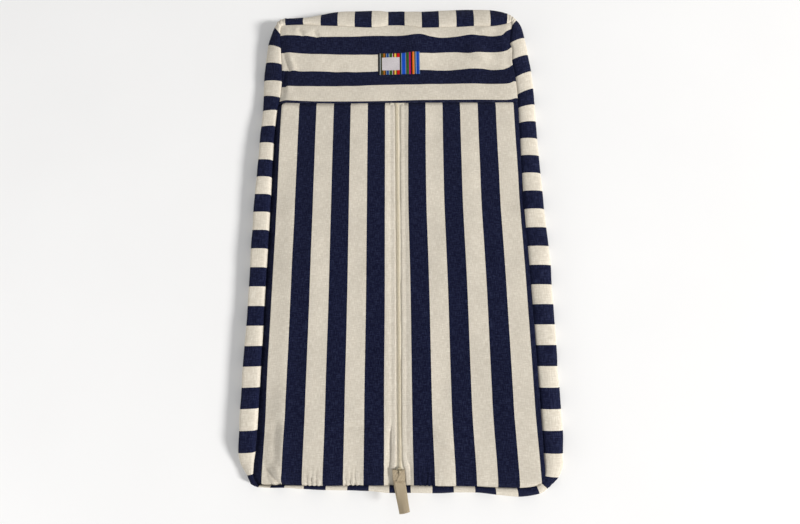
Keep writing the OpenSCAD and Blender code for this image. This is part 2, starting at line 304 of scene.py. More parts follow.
class Shader:
    """A material's node tree, with short calls to add to it."""

    def __init__(self, name, roughness, sheen=0.0, specular=0.2):
        self.material = bpy.data.materials.new(name)
        self.material.use_nodes = True
        self.tree = self.material.node_tree
        self.surface = self.tree.nodes["Principled BSDF"]
        self.surface.inputs["Roughness"].default_value = roughness
        self.surface.inputs["Sheen Weight"].default_value = sheen
        self.surface.inputs["Sheen Roughness"].default_value = 0.6
        self.surface.inputs["Specular IOR Level"].default_value = specular

    def add(self, kind, inputs=None, **settings):
        made = self.tree.nodes.new(kind)
        for key, value in settings.items():
            setattr(made, key, value)
        for key, value in (inputs or {}).items():
            if isinstance(value, bpy.types.NodeSocket):
                self.tree.links.new(value, made.inputs[key])
            else:
                made.inputs[key].default_value = value
        return made

    def math(self, operation, a, b=0.0, c=0.0):
        return self.add("ShaderNodeMath", {0: a, 1: b, 2: c}, operation=operation).outputs[0]

    def mix(self, factor, a, b, blend="MIX"):
        """Two colours mixed. The sockets go by number, as the node has one of each name for each kind of data."""
        sockets = {0: factor, 6: a, 7: b}
        return self.add("ShaderNodeMix", sockets, data_type="RGBA", blend_type=blend).outputs[2]

    def cloth_uv(self):
        """The cloth coordinates, across and along the stripes, in metres."""
        uv = self.add("ShaderNodeUVMap", uv_map="cloth").outputs["UV"]
        parts = self.add("ShaderNodeSeparateXYZ", {0: uv})
        return uv, parts.outputs["X"], parts.outputs["Y"]

    def wear(self):
        """How rubbed the cloth is, from 0 to 1, as its mesh says."""
        return self.add("ShaderNodeAttribute", attribute_name="wear").outputs["Fac"]

    def place(self):
        return self.add("ShaderNodeTexCoord").outputs["Object"]

    def grey(self, value):
        return self.add("ShaderNodeCombineColor", {0: value, 1: value, 2: value}).outputs[0]

    def noise(self, vector, x, y=None, z=None, detail=2.0, roughness=0.5):
        """Noise over a vector, with x, y and z features per metre; one number stands for all three."""
        scales = (x, y or x, z or y or x)
        scaled = self.add("ShaderNodeVectorMath", {0: vector, 1: scales}, operation="MULTIPLY").outputs[0]
        inputs = {"Vector": scaled, "Scale": 1.0, "Detail": detail, "Roughness": roughness}
        return self.add("ShaderNodeTexNoise", inputs).outputs["Fac"]

    def spread(self, value, low, high, to_low=0.0, to_high=1.0):
        """The range from low to high, stretched to run from to_low to to_high."""
        inputs = {"Value": value, "From Min": low, "From Max": high, "To Min": to_low, "To Max": to_high}
        return self.add("ShaderNodeMapRange", inputs).outputs["Result"]

    def weave(self, u, v, pitch):
        """Height of a plain weave of round yarns: one set over, then the other."""
        turn = math.pi / pitch
        across = self.math("SINE", self.math("MULTIPLY", u, turn))
        along = self.math("SINE", self.math("MULTIPLY", v, turn))
        over = self.math("MULTIPLY", across, along)
        ribs = self.math("ADD", self.math("ABSOLUTE", across), self.math("ABSOLUTE", along))
        return self.math("MULTIPLY_ADD", over, 0.5, ribs)

    def bump(self, height, distance, strength=1.0, normal=None):
        inputs = {"Height": height, "Distance": distance, "Strength": strength}
        if normal is not None:
            inputs["Normal"] = normal
        return self.add("ShaderNodeBump", inputs).outputs["Normal"]

    def set(self, name, value):
        self.tree.links.new(value, self.surface.inputs[name])


def rgb(red, green, blue):
    """A colour written as it looks on a screen, from 0 to 255, as linear RGBA."""
    linear = [((c / 255 + 0.055) / 1.055) ** 2.4 if c > 10 else c / 255 / 12.92 for c in (red, green, blue)]
    return (*linear, 1.0)


NAVY, NAVY_DEEP, NAVY_FLECK = rgb(21, 25, 53), rgb(7, 10, 31), rgb(60, 67, 98)
CREAM, CREAM_DULL, CREAM_SLUB = rgb(209, 201, 187), rgb(196, 187, 171), rgb(229, 223, 210)


def canvas_material():
    """Yarn-dyed cotton canvas: navy and cream stripes across U, each one STRIPE wide, in a plain weave."""
    shader = Shader("striped_canvas", 0.9, 0.02, 0.04)
    uv, u, v = shader.cloth_uv()
    streak_v = shader.noise(uv, 640, 75, detail=3)
    streak_u = shader.noise(uv, 75, 640, detail=3)
    mottle = shader.noise(uv, 420, 260, detail=4, roughness=0.65)
    broad = shader.noise(uv, 14, detail=3)
    ragged = shader.math("MULTIPLY_ADD", streak_u, 0.0007, -0.00035)
    count = shader.math("DIVIDE", shader.math("ADD", u, ragged), 2 * STRIPE * MM)
    within = shader.math("FLOORED_MODULO", count, 1.0)
    is_navy = shader.math("GREATER_THAN", within, 0.5)
    heather = shader.math("MULTIPLY", streak_u, streak_v)
    navy = shader.mix(shader.spread(mottle, 0.35, 0.7), NAVY_DEEP, NAVY)
    navy = shader.mix(shader.spread(heather, 0.22, 0.36, 0.0, 0.3), navy, NAVY_FLECK)
    cream = shader.mix(shader.spread(mottle, 0.3, 0.75), CREAM_DULL, CREAM)
    cream = shader.mix(shader.spread(heather, 0.2, 0.36, 0.0, 0.6), cream, CREAM_SLUB)
    colour = shader.mix(is_navy, cream, navy)
    tone = shader.spread(broad, 0.3, 0.7, 0.94, 1.04)
    colour = shader.mix(1.0, colour, shader.grey(tone), "MULTIPLY")
    rubbed = shader.math("MULTIPLY", shader.wear(), shader.spread(streak_v, 0.4, 0.7, 0.0, 0.1))
    shader.set("Base Color", shader.mix(rubbed, colour, CREAM_SLUB))
    relief = shader.bump(shader.weave(u, v, 0.62 * MM), 0.00012, 0.5)
    shader.set("Normal", shader.bump(heather, 0.0006, 0.35, relief))
    return shader.material


def tape_material(name, colour, dull):
    """Plain-woven tape, for the bindings and the zip's tapes."""
    shader = Shader(name, 0.88, 0.04, 0.08)
    uv, u, v = shader.cloth_uv()
    streak = shader.noise(uv, 1500, 160)
    mottle = shader.noise(uv, 180, detail=3)
    tone = shader.mix(shader.spread(streak, 0.3, 0.7), dull, colour)
    tone = shader.mix(shader.spread(mottle, 0.35, 0.75, 0.0, 0.25), tone, dull)
    shader.set("Base Color", shader.mix(shader.math("MULTIPLY", shader.wear(), 0.3), tone, dull))
    shader.set("Normal", shader.bump(shader.weave(u, v, 0.8 * MM), 0.0002, 0.7))
    return shader.material


def webbing_material():
    """Herringbone webbing: slanted ribs that turn back every few millimetres across the tape."""
    shader = Shader("beige_webbing", 0.88, 0.04, 0.08)
    uv, u, v = shader.cloth_uv()
    herring, rib_pitch = 3.1 * MM, 1.3 * MM
    slant = shader.math("MULTIPLY_ADD", shader.math("PINGPONG", u, herring), 1.2, v)
    rib = shader.math("SINE", shader.math("MULTIPLY", slant, 2 * math.pi / rib_pitch))
    streak = shader.noise(uv, 900, 200, detail=3)
    dark, light = rgb(156, 140, 114), rgb(200, 184, 157)
    tone = shader.mix(shader.spread(rib, -1.0, 1.0), dark, light)
    tone = shader.mix(shader.spread(streak, 0.3, 0.7, 0.0, 0.5), tone, rgb(172, 156, 131))
    rubbed = shader.math("MULTIPLY", shader.wear(), 0.35)
    shader.set("Base Color", shader.mix(rubbed, tone, rgb(204, 190, 162)))
    shader.set("Normal", shader.bump(rib, 0.0002, 0.8))
    return shader.material


def mottled_material(name, colours, patches, grain, depth, roughness, strength=0.5, metallic=0.0, **finish):
    """Thread, nylon, enamel or metal: two colours in patches over a fine relief.

    patches gives the features per metre, the detail, and the noise from which and to which the colours blend.
    """
    shader = Shader(name, roughness, **finish)
    shader.surface.inputs["Metallic"].default_value = metallic
    place, (features, detail, low, high) = shader.place(), patches
    mask = shader.noise(place, features, detail=detail)
    shader.set("Base Color", shader.mix(shader.spread(mask, low, high), *colours))
    if metallic:
        shader.set("Roughness", shader.spread(mask, 0.3, 0.7, roughness - 0.08, roughness + 0.12))
    shader.set("Normal", shader.bump(shader.noise(place, *grain), depth, strength))
    return shader.material


def thread_material(name, colour):
    dull = (*(c * 0.8 for c in colour[:3]), 1.0)
    return mottled_material(name, (dull, colour), (2400, 2, 0.3, 0.7), [2400], 0.0001, 0.7, 0.6, sheen=0.1)


# Colours of the woven label from left to right: [share of the width where the band starts, colour].
BANDS = [
    (0.0, (10, 10, 18)), (0.043, (150, 156, 156)), (0.062, (24, 28, 30)), (0.08, (62, 62, 20)),
    (0.13, (158, 92, 16)), (0.17, (34, 44, 34)), (0.197, (120, 146, 172)), (0.212, (16, 56, 130)),
    (0.258, (150, 168, 160)), (0.274, (46, 84, 24)), (0.342, (190, 192, 188)), (0.356, (110, 14, 44)),
    (0.395, (222, 184, 70)), (0.436, (50, 24, 18)), (0.458, (196, 12, 14)), (0.518, (34, 50, 18)),
    (0.558, (120, 146, 176)), (0.574, (14, 74, 184)), (0.656, (110, 136, 168)), (0.672, (84, 62, 16)),
    (0.695, (32, 94, 34)), (0.742, (168, 10, 98)), (0.785, (48, 8, 12)), (0.825, (222, 104, 16)),
    (0.86, (206, 172, 100)), (0.872, (8, 14, 52)), (0.902, (140, 166, 198)), (0.918, (12, 64, 164)),
    (0.978, (80, 112, 156)),
]
BLANK_PANEL = (0.095, 0.52, 0.21, 0.8)  # its left, right, low and high edges, as shares of the label


def label_material():
    """A woven label: upright bands of colour, with a plain off-white panel on its left half."""
    shader = Shader("woven_label", 0.75, 0.02, 0.1)
    uv, u, v = shader.cloth_uv()
    width, height = (LABEL_BOX[1] - LABEL_BOX[0])[:2] * MM
    across = shader.math("DIVIDE", u, width)
    up = shader.math("DIVIDE", v, height)
    colours = rgb(*BANDS[0][1])
    for start, colour in BANDS[1:]:
        colours = shader.mix(shader.math("GREATER_THAN", across, start), colours, rgb(*colour))
    left, right, low, high = BLANK_PANEL
    inside = shader.math("GREATER_THAN", across, left)
    for bound in ("LESS_THAN", across, right), ("GREATER_THAN", up, low), ("LESS_THAN", up, high):
        inside = shader.math("MULTIPLY", inside, shader.math(*bound))
    grain = shader.noise(uv, 2600, 500)
    panel = shader.mix(shader.spread(grain, 0.3, 0.7), rgb(176, 170, 174), rgb(214, 208, 210))
    colour = shader.mix(inside, colours, panel)
    shade = shader.spread(grain, 0.3, 0.7, 0.86, 1.06)
    shader.set("Base Color", shader.mix(1.0, colour, shader.grey(shade), "MULTIPLY"))
    shader.set("Normal", shader.bump(shader.weave(u, v, 0.00045), 0.0001, 0.5))
    return shader.material


def floor_material():
    shader = Shader("studio_floor", 0.9)
    place = shader.place()
    grain = shader.noise(place, 3, detail=3)
    shader.set("Base Color", shader.mix(grain, (0.86, 0.86, 0.86, 1), (0.9, 0.9, 0.9, 1)))
    return shader.material


CANVAS = canvas_material()
BINDING = tape_material("cotton_binding", rgb(214, 206, 188), rgb(188, 178, 156))
ZIP_TAPE = tape_material("zip_tape_weave", rgb(240, 233, 216), rgb(222, 213, 194))
WEBBING = webbing_material()
CREAM_THREAD = thread_material("cream_thread", rgb(226, 218, 198))
PULL_THREAD = thread_material("beige_thread", rgb(206, 186, 154))
NAVY_THREAD = thread_material("navy_thread", rgb(34, 40, 70))
NYLON = mottled_material(
    "coil_nylon", (rgb(214, 204, 180), rgb(228, 219, 198)), (300, 2, 0.3, 0.7), [4000, 600, 4000],
    0.00005, 0.42, specular=0.5,
)
ZIP_PAINT = mottled_material(
    "zip_enamel", (rgb(203, 191, 162), rgb(168, 156, 128)), (300, 4, 0.5, 0.72), [1500],
    0.00004, 0.45, specular=0.4,
)
EYELET_METAL = mottled_material(
    "eyelet_nickel", (rgb(206, 202, 190), rgb(160, 152, 132)), (220, 4, 0.4, 0.65), [3000, 200, 3000],
    0.00004, 0.3, metallic=1.0,
)
LABEL_CLOTH = label_material()


# ---- Height of the front ----

# Folds placed one by one: [start, end, width, height].
FRONT_CREASES = [
    [(-14, 118), (-25, 8), 6, -2.0],
    [(26, 96), (22, 14), 4, -1.0],
    [(76, 88), (118, 58), 3.0, -2.2],
    [(70, 102), (120, 76), 8, 1.8],
    [(-284, 38), (-242, -4), 4.5, -5],
    [(-282, 22), (-262, -4), 3.5, -2.4],
    [(-268, 44), (-236, 6), 6, 3.0],
    [(-262, 132), (-262, 26), 9, -3.0],
    [(-244, 120), (-240, 30), 7, 1.8],
    [(-112, 118), (-64, 116), 6, -1.4],
]
YOKE_CREASES = [
    [(-262, 1072), (-214, 1058), 9, 3.8],
    [(-248, 1078), (-232, 1056), 4.5, -4.4],
    [(-208, 1074), (-196, 1050), 5.5, -3.8],
    [(155, 1004), (232, 955), 5.5, -3.2],
    [(180, 1012), (270, 958), 13, 4.2],
    [(176, 1084), (216, 1044), 6, -3.0],
    [(232, 1072), (286, 1034), 6, -3.2],
    [(205, 1060), (285, 1078), 8, 3.2],
    [(-289, 1024), (-264, 955), 3.8, -5.2],
    [(-270, 1010), (-250, 955), 6, 3.0],
]
YOKE_END_CREASE = [(-278, 974), (-276, 892), 3.4, -3.4]
HEM_PUCKERS, PUCKER_W, PUCKER_H, PUCKER_PITCH = (-178, -98, 60), 20, 2.6, 9.5


def front_height(x, y):
    """Height of the front cloth where no seam is near: nearly flat, with the soft folds of an empty bag."""
    away = ease(np.abs(x - ZIP_X), 12, 60)
    broad, folds, fine = noise(x, y, 190, 3), noise(x, y * 0.6, 70, 4), noise(x, y, 26, 5)
    z = FRONT_Z + away * (1.8 * broad + 1.3 * folds + 0.4 * fine)
    z = z + away * 0.8 * noise(x, y * 0.2, 36, 6) + creases(x, y, FRONT_CREASES)
    for middle in HEM_PUCKERS:
        reach = bell((x - middle) / PUCKER_W) * (1 - ease(y, 6, 52))
        z = z + PUCKER_H * reach * np.sin((x - middle) * 2 * math.pi / PUCKER_PITCH)
    return z


# Where the yoke's stripes lie: rows of y over x, each headed by its count of stripes from the folded edge.
YOKE_X = np.array([-290, -240, -190, -130, -75, -20, 25, 60, 90, 115, 155, 190, 215, 240, 263, 277, 290])
YOKE_ROWS = {
    -0.16: [876, 873, 871, 869, 868, 867.5, 866.5, 866, 865, 864.5, 863.5, 862.5, 862, 861.5, 861, 860.5, 862],
    0: [883, 878, 875, 873.2, 872, 871.5, 871.3, 871.5, 870.8, 870.5, 869.5, 869, 868, 867, 866, 866.5, 871],
    1: [
        922, 918.5, 917, 915.3, 915.3, 915.2, 915.2, 915, 914.8, 914.5,
        914, 912.7, 911.5, 910.3, 909.6, 911, 917,
    ],
    2: [
        968, 961.5, 958.5, 955.2, 954.2, 956, 955.6, 955.4, 954.6, 954,
        954.6, 955.8, 955.5, 951.5, 950.3, 955, 963,
    ],
    3: [
        1015.5, 1010, 1006, 1002.5, 1001, 1000, 999.6, 999.8, 1001, 1003,
        1002.5, 995.8, 996, 999, 999, 1002, 1012,
    ],
    4: [
        1062, 1057, 1053.3, 1051.3, 1051, 1049.5, 1048.5, 1051, 1044, 1040.7,
        1041.2, 1044.5, 1043, 1040.7, 1042.2, 1052.5, 1061,
    ],
}


def yoke_row(count, x):
    return spline(YOKE_X, YOKE_ROWS[count], x)


def yoke_fold_y(x):
    return yoke_row(-0.16, x)


def yoke_count(x, y):
    """Stripes counted up from the yoke's folded edge, at any place on the yoke."""
    counts = list(YOKE_ROWS)
    found = np.full(np.shape(y), counts[0], float)
    for low, high in zip(counts, counts[1:]):
        low_y = yoke_row(low, x)
        share = np.clip((y - low_y) / (yoke_row(high, x) - low_y), 0, None if high == counts[-1] else 1)
        found = found + share * (high - low)
    return found


def yoke_height(x, y):
    """Height of the yoke: a shallow dip above its fold, then a rise to the top seam, with upright waves."""
    count = yoke_count(x, y)
    swell = spline([-0.2, 0, 1, 2, 3, 4, 4.8, 6], [27.6, 27.8, 27, 24.5, 27, 31.5, 33.2, 33.2], count)
    waves = 3.0 * np.cos((x - 47) * 2 * math.pi / 150) * ease(x, -10, 45) * (1 - ease(x, 235, 275))
    z = swell + ease(count, 1.2, 3.2) * waves
    z = z + ease(count, 0.3, 2) * (1.6 * noise(x, y, 80, 11) + 0.8 * noise(x, y, 28, 12))
    return z + 0.7 * noise(x, y * 0.3, 30, 13) * ease(count, 0.1, 0.8) + creases(x, y, YOKE_CREASES)


# ---- Canvas pieces ----


def side_seam_points(run, low, high, shares):
    y = low + (high - low) * shares
    return stack(on_side_seam(run, y)[0], y)


# A turned edge: the points round its fold, and how far along the cloth each point is from the fold's top.
TURNS = np.radians([-60, -30, 0, 30, 60])
FOLD_CURL = FOLD_R * stack(-np.cos(TURNS), np.sin(TURNS) - 1)
FOLD_PATH = np.concatenate([[-TURN_UNDER - 2, -8, -3, -2], np.linspace(-1.8, -0.3, 5)])
FRONT_UNDER = [[TURN_UNDER, -2 * FOLD_R], [6, -2 * FOLD_R], [1.5, -2 * FOLD_R], [0, -2 * FOLD_R]]
YOKE_UNDER = [[14, -5.0], [7, -3.2], [2, -1.7], [0, -2 * FOLD_R]]


def turned_edge(line, inward, under):
    """The ply hidden under a folded edge and the round of its fold, for each point of the edge's line."""
    profile = np.concatenate([under, FOLD_CURL])[None]
    return line[:, None] + profile[..., :1] * np.array(inward) + profile[..., 1:] * np.array([0, 0, 1])


# Distances from the zip's middle to the front's stripe edges, the cloth being laid a little unevenly.
LEFT_STRIPES = [30.5, 72.5, 114.5, 156.5, 199.5, 242.5, 286.5]
RIGHT_STRIPES = [26.5, 68.5, 110, 153, 196, 240, 284]
PANEL_TOP = 890.0  # the front halves end here, under the yoke

# How far the folded edges of the slit lie from the zip's middle: they spread apart round the slider.
SLIT_KEYS = np.array([-2, 3, 12, 28, 36, 46, 66, 100, 370, 900])
SLIT_LEFT = np.array([11.0, 11.8, 12.2, 12.0, 9.8, 8.0, 7.3, 7.2, 5.7, 5.2])
SLIT_RIGHT = np.array([10.8, 11.6, 11.4, 10.4, 8.6, 6.4, 5.3, 5.2, 6.6, 8.6])


def slit_edge_x(side, y):
    """The folded edge of a front half along the zip."""
    away = spline(SLIT_KEYS, SLIT_LEFT if side < 0 else SLIT_RIGHT, y)
    ripple = 0.3 * noise(y, side, 24, 21 if side < 0 else 22)
    return ZIP_X + side * (away + FOLD_R) + ripple


def slit_relief(x, y, distance):
    """Height of the cloth beside the slit: a plump edge, a stitched groove, then a slow rise off the tape."""
    plump = 1.5 * bell((distance - 2.6) / 2.2)
    groove = -0.6 * bell((distance - STITCH_IN) / 1.2)
    dip = -1.6 * (1 - ease(distance, 5, 20))
    return plump + groove + dip + 0.5 * noise(x, y, 24, 23) * bell(distance / 14)


def ditch_depth(x, y):
    """How far the front seam is pulled down below the gusset beside it, which is only on the left side."""
    return ease(-x, 250, 290) * (2.5 * (1 - ease(y, 700, 860)) + 3 * (1 - ease(y, 60, 220)))


def stripe_drift(side, reach, y):
    """How far outwards the stripes of a front half lie from straight lines."""
    hem = 1 - ease(y, 20, 160)
    if side < 0:
        waver = spline([0, 90, 171, 384, 498, 842], [2.6, 2.2, 2.3, 0.2, -0.3, -1.5], y)
        return waver + 1.8 * hem * reach / 290
    waver = spline([0, 91, 171, 384, 498, 617, 743, 842], [1.8, 1.0, 0.9, 0.8, -0.2, -1.4, -0.3, 1.6], y)
    return waver + 3 * hem * ease(reach, 10, 110) - 3.5 * ease(y, 650, 850) * (reach / 290) ** 2


def front_outline(side, run, s, t):
    """The hem, top, slit and side lines of a front half."""
    corner = seam_xy(np.array([CORNERS["hem_left"] if side < 0 else CORNERS["hem_right"] - 0.35]))[0]
    low_start, top_start = slit_edge_x(side, np.array([0.0, PANEL_TOP]))
    low_x = low_start + (corner[0] - low_start) * s
    low = stack(low_x, on_end_seam(HEM_RUN, low_x)[0])
    low[-1] = corner
    top_x = top_start + (on_side_seam(run, PANEL_TOP)[0] - top_start) * s
    high = stack(top_x, np.full_like(s, PANEL_TOP))
    inner_y = low[0, 1] + (PANEL_TOP - low[0, 1]) * t
    inner = stack(slit_edge_x(side, inner_y), inner_y)
    low[0] = inner[0]
    outer = side_seam_points(run, corner[1], PANEL_TOP, t)
    outer[0] = corner
    return low, high, inner, outer


def front_panel_height(side, run, x, y, low, inner, outer):
    """Height of a front half: led down to its seams, then shaped at the slit and under the yoke."""
    from_side = np.hypot(x - outer[:, None, 0], y - outer[:, None, 1])
    from_hem = np.hypot(x - low[None, :, 0], y - low[None, :, 1])
    seam_x, seam_z = on_side_seam(run, y)
    side_fall = FRONT_Z - seam_z + ditch_depth(seam_x, y)
    hem_fall = FRONT_Z - on_end_seam(HEM_RUN, x)[1] + ditch_depth(x, 0)
    if side < 0:
        slope = 3 * (1 - ease(y, 620, 800)) + 8 * (1 - ease(y, 60, 260))
        side_drop = slope * (1 - ease(from_side, 14, 62)) + (side_fall - slope) * (1 - ease(from_side, 1, 18))
    else:
        side_drop = side_fall * bell(from_side / 7)
    hem_drop = hem_fall * bell(from_hem / 9)
    z = front_height(x, y) - (np.maximum(side_drop, 0) ** 6 + np.maximum(hem_drop, 0) ** 6) ** (1 / 6)
    z = z - np.maximum(seam_roll(from_side), seam_roll(from_hem, 2.0))
    z = z + slit_relief(x, y, np.abs(x - inner[:, None, 0]))
    return z - 3.2 * ease(y - yoke_fold_y(x), -8, 2)


def front_panel(name, side):
    """One front half, from its turned edge at the zip to its side seam."""
    run, edges = (LEFT_RUN, LEFT_STRIPES) if side < 0 else (RIGHT_RUN, RIGHT_STRIPES)
    s, t = steps(290, 74), steps(880, 210)[::-1] * -1 + 1
    low, high, inner, outer = front_outline(side, run, s, t)
    x, y = np.moveaxis(coons(low, high, inner, outer, s, t), -1, 0)
    sheet = stack(x, y, front_panel_height(side, run, x, y, low, inner, outer))
    points = np.concatenate([turned_edge(sheet[:, 0], [side, 0, 0], FRONT_UNDER), sheet], 1)
    hidden = len(FOLD_PATH)
    reach = np.abs(points[..., 0] - ZIP_X)
    reach[:, :hidden] = reach[:, hidden : hidden + 1] + FOLD_PATH
    places = [-edges[0], *edges, 2 * edges[-1] - edges[-2]]
    stripes = np.interp(reach - stripe_drift(side, reach, points[..., 1]), places, range(-1, len(edges) + 1))
    uv = stack((stripes + 1) * STRIPE * MM, points[..., 1] * MM)
    wear = np.zeros(points.shape[:2])
    wear[:, hidden:] = bell((x - inner[:, None, 0]) / 1.2)
    if side < 0:
        points, uv, wear = points[:, ::-1], uv[:, ::-1], wear[:, ::-1]
    return ply(name, points, uv, wear, CANVAS)


def yoke_outline(s, t):
    """The folded, top, left and right lines of the yoke."""
    corner_l, corner_r = (seam_xy(np.array([CORNERS[c]]))[0] for c in ("top_left", "top_right"))
    left_x, right_x = on_side_seam(LEFT_RUN, 878.0)[0], on_side_seam(RIGHT_RUN, 861.0)[0]
    low_x = left_x + (right_x - left_x) * s
    low = stack(low_x, yoke_fold_y(low_x))
    high_x = corner_l[0] + (corner_r[0] - corner_l[0]) * s
    high = stack(high_x, on_end_seam(TOP_RUN, high_x)[0])
    inner = side_seam_points(LEFT_RUN, low[0, 1], corner_l[1], t)
    outer = side_seam_points(RIGHT_RUN, low[-1, 1], corner_r[1], t)
    inner[0], inner[-1], outer[0], outer[-1] = low[0], high[0], low[-1], high[-1]
    return low, high, inner, outer


def yoke():
    """The shoulder piece: stripes across, its lower edge folded under over the front halves."""
    s = steps(590, 140, both=True)
    t = steps(210, 52, fine=(0, 0.25, 0.7, 1.4, 2.4, 3.6, 5.5))
    low, high, inner, outer = yoke_outline(s, t)
    x, y = np.moveaxis(coons(low, high, inner, outer, s, t), -1, 0)
    z = yoke_height(x, y)
    from_top = np.hypot(x - high[None, :, 0], y - high[None, :, 1])
    z = z + (on_end_seam(TOP_RUN, x)[1] - z) * bell(from_top / 12) - seam_roll(from_top)
    lifted = 1.4 * (1 - ease(y, low[0, 1] + 4, low[0, 1] + 40))
    for distance, run, width in (x - inner[:, None, 0], LEFT_RUN, 13), (outer[:, None, 0] - x, RIGHT_RUN, 9):
        side_z = on_side_seam(run, y)[1] + lifted
        z = z + (side_z - z) * bell(distance / width) - seam_roll(distance)
    sheet = stack(x, y, z + crease(x, y, *YOKE_END_CREASE))
    edge = turned_edge(sheet[0], [0, 1, 0], YOKE_UNDER).transpose(1, 0, 2)
    points = np.concatenate([edge, sheet], 0)
    count = yoke_count(x, y)
    count = np.concatenate([count[:1] + FOLD_PATH[:, None] / STRIPE, count], 0)
    uv = stack(count * STRIPE * MM, points[..., 0] * MM)
    wear = np.zeros(points.shape[:2])
    wear[len(FOLD_PATH):] = 0.4 * bell((y - low[None, :, 1]) / 1.5)
    return ply("canvas_yoke", points, uv, wear, CANVAS)


# Sections of the gusset, from the front seam over its nose to the back seam: shares of its reach and height.
SOFT_OUT = [0, 0.035, 0.09, 0.2, 0.42, 0.68, 0.88, 0.975, 1, 0.975, 0.88, 0.68, 0.4, 0]
SOFT_UP = [0.88, 0.97, 1.03, 1.07, 1.06, 0.98, 0.84, 0.68, 0.52, 0.37, 0.24, 0.12, 0.04, 0]
LEFT_UP = [1.0, 1.06, 1.28, 1.4, 1.48, 1.53, 1.5, 1.24, 0.85, 0.5, 0.28, 0.12, 0.04, 0]
BOX_OUT = [0, 0.035, 0.09, 0.2, 0.42, 0.68, 0.88, 0.985, 1, 1, 1, 0.97, 0.7, 0]
BOX_UP = [0.9, 0.98, 1, 0.99, 0.965, 0.93, 0.88, 0.78, 0.6, 0.4, 0.2, 0.06, 0.02, 0]
STRIP_W = 86.0
# Where the gusset is gathered into pleats: [stripe count, spread in counts, depth].
PLEATS = [(24.6, 0.55, 1.5), (38.5, 0.5, 1.5), (-0.2, 0.5, 0.9), (63.7, 0.6, 0.9)]


def blend(first, second, share):
    return first * (1 - share) + second * share


def gusset(name, start, end):
    """One length of the gusset: a strip folded round from the front seam to the back seam."""
    count = run_between(start, end, 12)[:, None]
    share = np.linspace(0, 1, 31)
    keys = np.linspace(0, 1, len(SOFT_OUT))
    soft_out, soft_up, left_up, box_out, box_up = (
        spline(keys, section, share) for section in (SOFT_OUT, SOFT_UP, LEFT_UP, BOX_OUT, BOX_UP)
    )
    boxed = np.exp(-(((station(1, count) - ZIP_X) / 22) ** 4)) * (np.abs(count - 31.5) < 3)
    raised = ease(count, 0.2, 1.5) * (1 - ease(count, 16.5, 21))
    out = blend(soft_out, box_out, boxed)
    up = blend(blend(soft_up, box_up, boxed), left_up, raised)
    seam, nose = seam_xy(count[:, 0]), stack(station(3, count[:, 0]), station(4, count[:, 0]))
    low = FLOOR_GAP + CLOTH
    sink = ditch_depth(seam[:, :1], seam[:, 1:])
    z = low + (seam_height(count) - low) * up - sink * bell(share / 0.07)
    k, w = count * STRIPE, share[None] * STRIP_W
    free = np.sin(share * math.pi) ** 0.7 * (1 - 0.8 * boxed)
    z = z + free * (1.1 * noise(k, w, 60, 31) + 0.7 * noise(k, w, 22, 32)) * np.clip(z / 12, 0, 1)
    outward = (nose - seam) / np.maximum(np.linalg.norm(nose - seam, axis=1), 1)[:, None]
    reach = (nose - seam)[:, None] * out[..., None]
    xy = seam[:, None] + reach + outward[:, None] * (free * 0.9 * noise(k, w, 45, 33))[..., None]
    z = z + 0.45 * bell((share - 0.3) / 0.03) * free
    for middle, spread, depth in PLEATS:
        near = bell((count - middle) / spread) * np.sin((count - middle) * 2 * math.pi / 0.3)
        z = z + depth * near * np.sin(share * math.pi) * np.clip(z / 12, 0, 1)
    puckers = 0.45 * np.sin(count * 2 * math.pi / 0.24 + 2 * noise(k, 0, 60, 34))
    z = z + puckers * bell((share - 0.1) / 0.07) * (0.5 + 0.5 * noise(k, 0, 90, 35))
    points = np.concatenate([xy, np.maximum(z, low - 0.2)[..., None]], -1)
    uv = stack(k, w) * MM
    wear = 0.5 * bell((share - 0.57) / 0.03) + 0 * k
    return ply(name, points, uv, wear, CANVAS)


def back_panel():
    """The back, flat on the table, sewn to the gusset's lower edge."""
    s, t = steps(600, 90, both=True), steps(1080, 160, both=True)
    y = 4 + (1072 - 4) * t
    left, right = on_side_seam(LEFT_RUN, y)[0], on_side_seam(RIGHT_RUN, y)[0]
    x = left[:, None] + (right - left)[:, None] * s[None]
    low, high = on_end_seam(HEM_RUN, x)[0] + 0.5, on_end_seam(TOP_RUN, x)[0] - 0.5
    rows = low + (high - low) * t[:, None]
    z = FLOOR_GAP + CLOTH + 0.25 * (1 + noise(x, rows, 90, 41))
    uv = stack((x + STRIPE / 2) * MM, rows * MM)
    return ply("canvas_back", stack(x, rows, z), uv, None, CANVAS, nodes=["back_panel"])


# ---- Zip ----


def zip_tape(name, side):
    """A woven tape under one edge of the slit, its rounded bead carrying the coil's stitches."""
    low, high = TAPE_BOX
    y = np.linspace(low[1], high[1], 240)[:, None]
    across = np.array([[0, 0.4, 1.2, 2.6, 4.2, 5.2, 6.5, 9, 12, 15.2, 16]])
    x = ZIP_X + side * (low[0] - ZIP_X - 0.3 + across) + 0 * y
    z = high[2] + 0.1 * noise(x, y, 20, 51) + 0.12 * bell((across - 4.8) / 0.5)
    points = stack(x, y, z)
    uv = stack(across, y) * MM
    if side < 0:
        points, uv = points[:, ::-1], uv[:, ::-1]
    ply(name, points, uv, None, ZIP_TAPE, 0.6)


def circle(count):
    """Angles evenly spaced once round."""
    return np.linspace(0, 2 * math.pi, count, endpoint=False)


def tube(points, radius, sides=6):
    """Rings round a path of points, each ring square to it."""
    ahead = np.gradient(points, axis=0)
    ahead /= np.linalg.norm(ahead, axis=1)[:, None]
    first = np.cross(ahead, [0.08, 0.99, 0.05])
    first /= np.linalg.norm(first, axis=1)[:, None]
    turn = circle(sides)[None, :, None]
    second = np.cross(ahead, first)
    return points[:, None] + radius * (first[:, None] * np.cos(turn) + second[:, None] * np.sin(turn))


